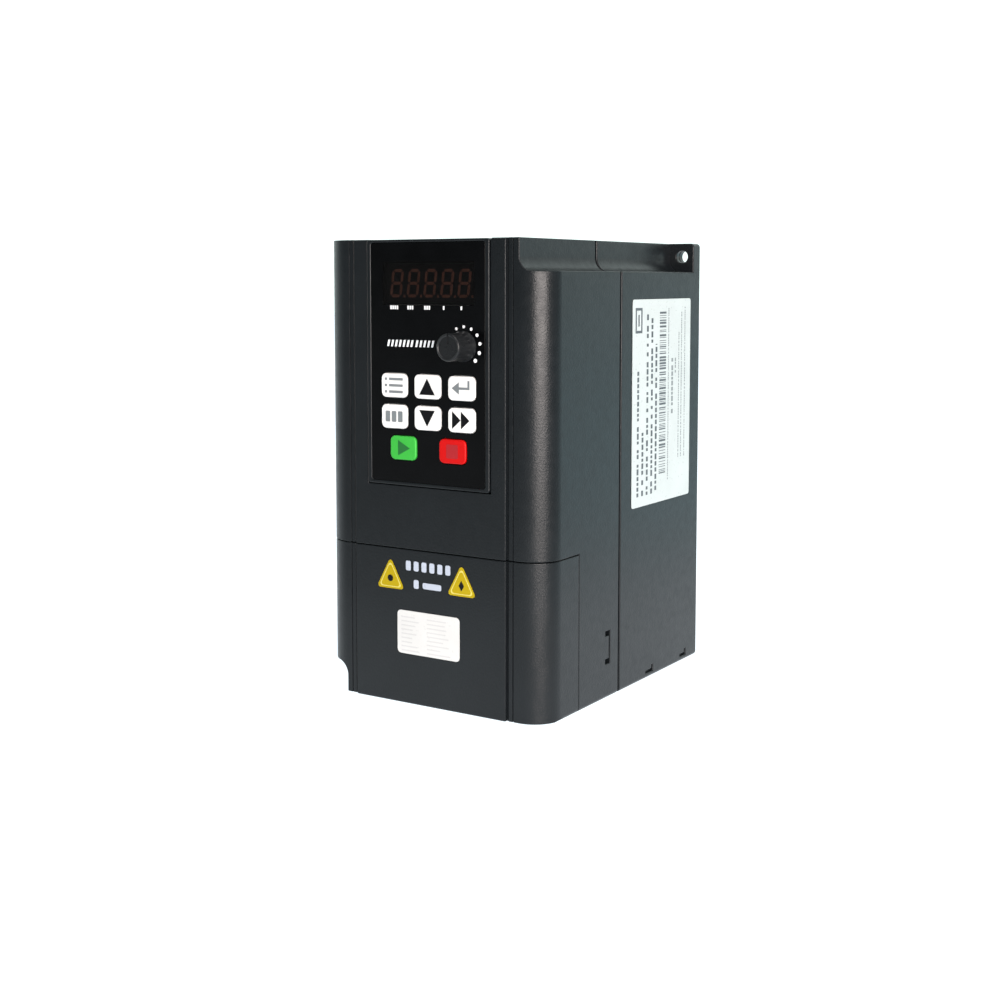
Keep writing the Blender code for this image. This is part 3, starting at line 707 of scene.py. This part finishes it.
def bezel():
    """Keypad tray with its narrow bezel."""
    front = KEYPAD_LOW[1]
    back = KEYPAD_HIGH[1]
    half = KEYPAD_HIGH[0]
    seat = FACE_HIGH[1] + GAP
    inner = seat + FRAME_WALL
    play = 0.15
    x, z = knob_axis()
    made = solid("keypad_bezel", lambda mesh: prism(
        mesh, rectangle(-half, half, KEYPAD_LOW[2], KEYPAD_HIGH[2], 1.0), "Y", front, back))
    recess = rectangle(FACE_LOW[0] - play, FACE_HIGH[0] + play, FACE_LOW[2] - play, FACE_HIGH[2] + play, 1.0)
    cut(made, prism, recess, "Y", front - 3, seat)
    cut(made, block, (-half + FRAME_WALL, half - FRAME_WALL), (inner, back + 5),
        (KEYPAD_LOW[2] + FRAME_WALL, KEYPAD_HIGH[2] - FRAME_WALL))
    cut(made, key_holes, seat - 2, inner + 2)
    cut(made, block, (DISPLAY_LOW[0] - GAP, DISPLAY_HIGH[0] + GAP), (seat - 2, inner + 2),
        (DISPLAY_LOW[2] - GAP, DISPLAY_HIGH[2] + GAP))
    cut(made, cylinder, x, z, SHAFT_HOLE_R, "Y", seat - 2, inner + 2)
    cut(made, block, STATUS_OPENING_X, (seat - 2, inner + 2), STATUS_OPENING_Z)
    settle(made, 0.4)
    finish_piece(made, "keypad", "charcoal_plastic", replaces=("keypad_frame",))


def faceplate():
    """Glossy front sheet, with the smoked window let into it."""
    start = FACE_LOW[1]
    end = FACE_HIGH[1]
    x, z = knob_axis()
    seam = 0.02
    made = solid("glossy_faceplate", lambda mesh: prism(
        mesh, rectangle(FACE_LOW[0], FACE_HIGH[0], FACE_LOW[2], FACE_HIGH[2], 0.9), "Y", start, end))
    cut(made, key_holes, start - 1, end + 1)
    cut(made, cylinder, x, z, SHAFT_HOLE_R, "Y", start - 1, end + 1)
    settle(made, 0.1)
    cut(made, block, (WINDOW_LOW[0] - seam, WINDOW_HIGH[0] + seam), (start - 1, end + 1),
        (WINDOW_LOW[2] - seam, WINDOW_HIGH[2] + seam))
    settle(made)
    finish_piece(made, "keypad", "gloss_black", replaces=("keypad_faceplate",))
    glass = solid("smoked_display_window", block, (WINDOW_LOW[0], WINDOW_HIGH[0]), (start, end),
                  (WINDOW_LOW[2], WINDOW_HIGH[2]))
    settle(glass)
    finish_piece(glass, "keypad", "smoked_window", replaces=("display_window",))


def segment_outlines(x, z, width, height, stroke):
    """Seven bars of one slanted digit, with the gaps between them."""
    lean = math.tan(math.radians(7))
    half = stroke / 2
    gap = 0.16

    def bar(u0, v0, u1, v1):
        """Pointed bar between two ends, slanted with the digit."""
        along = (u1 - u0, v1 - v0)
        length = math.hypot(*along)
        a = (along[0] / length, along[1] / length)
        n = (-a[1], a[0])
        local = [(gap, 0), (gap + half, half), (length - gap - half, half), (length - gap, 0),
                 (length - gap - half, -half), (gap + half, -half)]
        points = [(u0 + a[0] * s + n[0] * t, v0 + a[1] * s + n[1] * t) for s, t in local]
        return [(x + u + lean * v, z + v) for u, v in points]

    w = width / 2 - half
    h = height / 2 - half
    return [bar(-w, h, w, h), bar(-w, 0, w, 0), bar(-w, -h, w, -h), bar(-w, 0, -w, h), bar(w, 0, w, h),
            bar(-w, -h, -w, 0), bar(w, -h, w, 0)]


def inlay(name, outlines, body, ink, front):
    """Printed shapes on a front face, as one thin piece."""
    made = solid(name, prisms, outlines, "Y", front - FILM, front)
    settle(made)
    finish_piece(made, body, ink)


def digits():
    """Five unlit digits on the display's face, behind the window."""
    centre_x = (DISPLAY_LOW[0] + DISPLAY_HIGH[0]) / 2 + 0.4
    centre_z = (DISPLAY_LOW[2] + DISPLAY_HIGH[2]) / 2
    outlines = []
    for i in range(5):
        x = centre_x + DIGIT_PITCH * (i - 2)
        outlines += segment_outlines(x, centre_z, DIGIT_W, DIGIT_H, DIGIT_STROKE)
        outlines.append(circle(x + 3.3, centre_z - 4.6, 0.55, 20))
    inlay("display_digits", outlines, "keypad", "segment_ink", DISPLAY_LOW[1])


def shifted(points, x, z):
    """Outline moved from the origin to a key's centre."""
    return [(x + u, z + v) for u, v in points]


def bar(x, z, width, height, radius=0.2):
    """Rounded bar round a centre."""
    radius = min(radius, height * 0.45, width * 0.45)
    return rectangle(x - width / 2, x + width / 2, z - height / 2, z + height / 2, radius, 3)


def key_marks(name, x, z):
    """Generic mark of each key."""
    if name == "up":
        return [shifted([(-3.4, -2.9), (3.4, -2.9), (0, 3.0)], x, z)]
    if name == "down":
        return [shifted([(-3.4, 2.9), (0, -3.0), (3.4, 2.9)], x, z)]
    if name == "shift":
        return [shifted([(-3.9, -3.2), (-0.2, 0), (-3.9, 3.2)], x, z),
                shifted([(-0.1, -3.2), (3.6, 0), (-0.1, 3.2)], x, z)]
    if name == "program":
        rows = [bar(x + 0.9, z + offset, 6.2, 0.95) for offset in (2.3, 0, -2.3)]
        return rows + [bar(x - 3.6, z + offset, 1.0, 0.95) for offset in (2.3, 0, -2.3)]
    if name == "enter":
        stem = [(-0.9, -0.45), (3.6, -0.45), (3.6, 2.8), (2.7, 2.8), (2.7, 0.45), (-0.9, 0.45)]
        return [shifted(stem, x, z), shifted([(-4.0, 0), (-0.9, -2.2), (-0.9, 2.2)], x, z)]
    if name == "function":
        return [bar(x - 2.8, z, 2.1, 4.0, 0.4), bar(x, z, 2.1, 4.0, 0.4), bar(x + 2.8, z, 2.1, 4.0, 0.4)]
    if name == "run":
        return [shifted([(-2.2, -2.8), (3.2, 0), (-2.2, 2.8)], x, z)]
    return [bar(x, z, 5.0, 5.0, 0.5)]


def keys():
    """Softly crowned key caps with their marks."""
    inks = {"run": ("green_key", "green_ink"), "stop": ("red_key", "red_ink"),
            "program": ("white_key", "grey_ink"), "enter": ("white_key", "grey_ink"),
            "function": ("white_key", "grey_ink")}
    for name in KEYS:
        node = name + "_key"
        low, high = limits(node)
        x, z = key_centre(name)
        front = low[1]

        def ring(shrink):
            """Cap outline drawn in from the full size."""
            return rectangle(x - KEY_W / 2 + shrink, x + KEY_W / 2 - shrink, z - KEY_H / 2 + shrink,
                             z + KEY_H / 2 - shrink, KEY_R - shrink, 8)

        stem = rectangle(x - 2, x + 2, z - 2, z + 2, 0.5, 8)
        edge = 0.45
        rings = [(ring(edge * (1 - math.sin(t))), front + edge * (1 - math.cos(t)))
                 for t in (math.pi / 2 * k / 6 for k in range(7))]
        rings += [(ring(0), high[1] - 1.6), (ring(-0.8), high[1] - 1.6), (ring(-0.8), high[1] - 0.8),
                  (stem, high[1] - 0.8), (stem, high[1])]
        cap = solid(name + "_cap", loft, rings, "Y")
        settle(cap)
        colour, ink = inks.get(name, ("white_key", "dark_ink"))
        finish_piece(cap, node, colour, replaces=(node,))
        inlay(name + "_mark", key_marks(name, x, z), node, ink, front)


def knob():
    """Fluted knob with a dished face, a pointer groove and a bore for its shaft."""
    low, high = limits("potentiometer_knob")
    x, z = knob_axis()
    front = low[1]
    base = high[0] - x
    count = 72

    def ring(radius, flute=0.0):
        """Round outline with a shallow flute at every fourth point."""
        points = []
        for i in range(count):
            reach = radius - flute * (i % 4 == 0)
            angle = 2 * math.pi * i / count
            points.append((x + reach * math.cos(angle), z + reach * math.sin(angle)))
        return points

    rings = [(ring(3.7), front + 0.45), (ring(3.95), front + 0.3), (ring(4.15), front + 0.08),
             (ring(4.3), front), (ring(4.5), front + 0.05), (ring(4.75), front + 0.25),
             (ring(4.9), front + 0.6), (ring(4.95, 0.16), front + 1.0), (ring(5.0, 0.18), front + 7.0),
             (ring(5.05, 0.1), front + 7.6), (ring(5.2), front + 8.2), (ring(base - 0.1), front + 8.8),
             (ring(base), front + 9.1), (ring(base), high[1])]
    made = solid("fluted_knob", loft, rings, "Y")
    cut(made, cylinder, x, z, 1.8, "Y", -129.0, high[1] + 2)
    cut(made, block, (x - 0.3, x + 0.3), (front - 1, front + 0.75), (z + 1.2, z + 6))
    settle(made)
    finish_piece(made, "knob", "black_plastic", replaces=("potentiometer_knob",))


def knob_scale():
    """White dots round the knob, growing clockwise, as on a level control."""
    x, z = knob_axis()
    outlines = []
    for i in range(SCALE_DOTS):
        angle = math.radians(225 - 27 * i)
        u = x + SCALE_R * math.cos(angle)
        v = z + SCALE_R * math.sin(angle)
        outlines.append(circle(u, v, 0.38 + 0.034 * i, 20))
    return outlines


def faceplate_print():
    """White marks on the faceplate: status ticks, a slanted row beside the knob, the knob's scale."""
    outlines = knob_scale()
    for x, ticks in ((-14.4, 4), (-7.2, 3), (0.2, 3), (7.4, 1), (14.9, 1)):
        for i in range(ticks):
            outlines.append(bar(x + 0.95 * (i - (ticks - 1) / 2), STATUS_Z, 0.66, 1.35, 0.1))
    for start, count in ((-17.7, 7), (-5.1, 5)):
        for i in range(count):
            left = start + 1.74 * i
            outlines.append([(left, 46.4), (left + 0.85, 46.4), (left + 1.45, 48.8), (left + 0.6, 48.8)])
    inlay("faceplate_print", outlines, "keypad", "white_ink", FACE_LOW[1])


# ---------------------------------------------------------------- labels

def warning_marks():
    """Yellow triangles with a pale line inside the rim and plain marks, and pale bars between."""
    for side, mark in (("left", "dot"), ("right", "diamond")):
        node = "warning_triangle_" + side
        low, high = limits(node)
        x = (low[0] + high[0]) / 2
        bottom = low[2]
        top = high[2]
        front = low[1]

        def shape(shrink):
            """Rounded triangle drawn in evenly from the label's edge."""
            half = (high[0] - low[0]) / 2
            return fillet([(x - half - 0.7 + 1.75 * shrink, bottom + shrink, 0.9),
                           (x + half + 0.7 - 1.75 * shrink, bottom + shrink, 0.9),
                           (x, top + 1.1 - 2.1 * shrink, 0.9)], 6)

        for layer, (shrink, ink) in enumerate(((0.6, "pale_ink"), (0.95, "yellow_label"))):
            inlay("%s_layer_%d" % (node, layer), [shape(shrink)], "terminal_cover", ink,
                  front - FILM * layer)
        height = bottom + (top - bottom) * 0.36
        outline = circle(x, height, 1.25, 28)
        if mark == "diamond":
            outline = [(x, height - 1.9), (x + 1.2, height), (x, height + 1.9), (x - 1.2, height)]
        inlay(node + "_mark", [outline], "terminal_cover", "dark_ink", front - 2 * FILM)
    outlines = [bar(-8.9 + 3.5 * i, -33.4, 2.2, 3.6, 0.6) for i in range(6)]
    outlines += [bar(-5.4, -40.0, 2.2, 3.2, 0.6), bar(1.6, -40.2, 8.2, 2.2, 0.6)]
    inlay("cover_print", outlines, "terminal_cover", "cool_ink", FRONT)


def greeked_row(across, start, end, size, rng, gap=0.9):
    """Row of short dashes along the label, like print too small to read."""
    outlines = []
    at = start
    while at < end:
        length = rng.uniform(0.7, 1.6) * size
        outlines.append(rectangle(across - size / 2, across + size / 2, at, min(at + length, end)))
        at += length + gap * rng.choice((0.5, 0.5, 0.6, 1.6)) * size
    return outlines


def rating_print():
    """Generic rating label: dashes for lines of print, a strip of plain bars and an empty box."""
    rng = random.Random(7)
    low, high = limits("rating_label")
    left = low[1]
    bottom = low[2]
    face = high[0]
    rows = ((4.7, 4, 52, 1.5), (8.6, 4, 30, 1.5), (12.4, 4, 74, 1.5), (16.2, 4, 72, 1.5), (19.8, 5, 62, 1.5))
    outlines = []
    for across, start, end, size in rows:
        outlines += greeked_row(left + across, bottom + start, bottom + end, size, rng)
    at = bottom + 11
    while at < bottom + 74:
        width = rng.choice((0.25, 0.25, 0.5, 0.8))
        outlines.append(rectangle(left + 22.6, left + 28.2, at, at + width))
        at += width + rng.choice((0.35, 0.35, 0.6, 0.9))
    box = left + 2.2
    for u0, u1, v0, v1 in ((0, 5.6, 0, 1.0), (0, 5.6, 8.6, 9.6), (0, 1.0, 1.0, 8.6), (4.6, 5.6, 1.0, 8.6),
                           (2.3, 3.3, 2.6, 7.0)):
        outlines.append(rectangle(box + u0, box + u1, bottom + 66.5 + v0, bottom + 66.5 + v1))
    dark = solid("rating_print_dark", prisms, outlines, "X", face, face + FILM)
    settle(dark)
    finish_piece(dark, "chassis", "fine_ink")
    frame["nodes"]["rating_label"].data.materials[0] = MATERIALS["silver_label"]
    fine = []
    for across, start, end, size in ((30.4, 8, 76, 0.55), (33.8, 34, 56, 1.5), (36.6, 50, 56, 0.9),
                                     (39.6, 16, 66, 0.6), (42.0, 16, 74, 0.6), (45.0, 16, 76, 0.6)):
        fine += greeked_row(left + across, bottom + start, bottom + end, size, rng, 0.6)
    pale = solid("rating_print_fine", prisms, fine, "X", face, face + FILM)
    settle(pale)
    finish_piece(pale, "chassis", "grey_ink")


def front_print():
    """Faint lines on the small front label, in two columns."""
    rng = random.Random(11)
    low, high = limits("front_label")
    outlines = []
    for row in range(9):
        z = high[2] - 2.4 - 1.55 * row
        for start, reach in ((low[0] + 1.8, 8.0), (low[0] + 13.2, 10.5)):
            width = reach * rng.uniform(0.55, 1.0)
            outlines.append(rectangle(start, start + width, z - 0.22, z + 0.22))
    inlay("front_label_print", outlines, "terminal_cover", "soft_grey_ink", low[1])


# ---------------------------------------------------------------- stage

def camera():
    """Camera at the eye's place: to the right of the front, a little above the middle, looking left."""
    data = bpy.data.cameras.new("camera")
    data.sensor_width = 36.0
    data.lens = LENS
    data.shift_y = CAMERA_SHIFT
    data.clip_start = 0.01
    made = bpy.data.objects.new("camera", data)
    made.location = CAMERA_PLACE
    made.rotation_euler = Euler((math.radians(90 + CAMERA_TILT), 0, math.radians(CAMERA_TURN)))
    bpy.context.scene.collection.objects.link(made)
    bpy.context.scene.camera = made


def area_light(name, colour, azimuth, elevation, distance, width, height, power):
    """Rectangular softbox aimed at the drive. Azimuth 0 is in front, 90 to its right."""
    data = bpy.data.lights.new(name, "AREA")
    data.shape = "RECTANGLE"
    data.size = width
    data.size_y = height
    data.energy = power
    data.color = colour
    made = bpy.data.objects.new(name, data)
    a = math.radians(azimuth)
    e = math.radians(elevation)
    away = (math.sin(a) * math.cos(e), -math.cos(a) * math.cos(e), math.sin(e))
    made.location = [aim + step * distance for aim, step in zip(LIGHT_AIM, away)]
    made.rotation_euler = Euler((math.radians(90) - e, 0, a))
    bpy.context.scene.collection.objects.link(made)


def level(azimuth):
    """Level direction from its azimuth in degrees: 0 to the front, 90 to the right."""
    angle = math.radians(azimuth)
    return (math.sin(angle), -math.cos(angle), 0)


def graded(tree, source, azimuth, first, last, low, high):
    """Number that climbs from low to high as the source vector reaches along an azimuth."""
    reach = tree.nodes.new("ShaderNodeVectorMath")
    reach.operation = "DOT_PRODUCT"
    reach.inputs[1].default_value = level(azimuth)
    ramp = tree.nodes.new("ShaderNodeMapRange")
    ramp.interpolation_type = "SMOOTHSTEP"
    ramp.inputs["From Min"].default_value = first
    ramp.inputs["From Max"].default_value = last
    ramp.inputs["To Min"].default_value = low
    ramp.inputs["To Max"].default_value = high
    tree.links.new(source, reach.inputs[0])
    tree.links.new(reach.outputs["Value"], ramp.inputs["Value"])
    return ramp.outputs["Result"]


def joined(tree, operation, first, second):
    """Two numbers put through a math operation."""
    made = tree.nodes.new("ShaderNodeMath")
    made.operation = operation
    tree.links.new(first, made.inputs[0])
    tree.links.new(second, made.inputs[1])
    return made.outputs["Value"]


def floor():
    """Pale matt floor, glowing white round the drive, dimmer to the front left and cooler to the right."""
    made = solid("floor", lambda mesh: prism(mesh, circle(0, 0, 6000, 96), "Z", -HALF_H - 5, -HALF_H - 0.02))
    material = bpy.data.materials.new("floor_white")
    material.use_nodes = True
    tree = material.node_tree
    node = tree.nodes["Principled BSDF"]
    node.inputs["Base Color"].default_value = (0.25, 0.25, 0.25, 1)
    node.inputs["Roughness"].default_value = 0.9
    node.inputs["Specular IOR Level"].default_value = 0.1
    place_on_floor = tree.nodes.new("ShaderNodeNewGeometry").outputs["Position"]
    near = joined(tree, "MULTIPLY", graded(tree, place_on_floor, *FRONT_EDGE),
                  graded(tree, place_on_floor, *RIGHT_EDGE))
    glow = joined(tree, "MAXIMUM", near, graded(tree, place_on_floor, *SIDE_SHEEN))
    tree.links.new(glow, node.inputs["Emission Strength"])
    hue = tree.nodes.new("ShaderNodeValToRGB")
    hue.color_ramp.elements[0].color = (*FLOOR_COLOUR, 1)
    hue.color_ramp.elements[1].color = (*SIDE_COLOUR, 1)
    tree.links.new(graded(tree, place_on_floor, *SIDE_TINT, 0.0, 1.0), hue.inputs["Fac"])
    tree.links.new(hue.outputs["Color"], node.inputs["Emission Color"])
    made.data.materials.append(material)


def surroundings():
    """Studio walls: bright behind and to the left, dim in front."""
    world = bpy.data.worlds.new("studio_air")
    world.use_nodes = True
    tree = world.node_tree
    air = tree.nodes["Background"]
    air.inputs["Color"].default_value = (*WALL_COLOUR, 1)
    tree.links.new(graded(tree, tree.nodes.new("ShaderNodeTexCoord").outputs["Generated"], *WALL_EDGE),
                   air.inputs["Strength"])
    bpy.context.scene.world = world


def studio():
    """Floor, walls, one broad soft light to the front right and a gentle one above it."""
    bpy.context.scene.view_settings.view_transform = "Standard"
    floor()
    surroundings()
    area_light("key_softbox", KEY_COLOUR, *KEY_LIGHT)
    area_light("top_softbox", TOP_COLOUR, *TOP_LIGHT)


def main():
    """Build every piece, then the stage."""
    make_materials()
    paint_frame()
    rear_shell()
    middle_shell()
    cover_shell()
    bezel()
    faceplate()
    digits()
    keys()
    knob()
    faceplate_print()
    warning_marks()
    rating_print()
    front_print()
    camera()
    studio()


main()
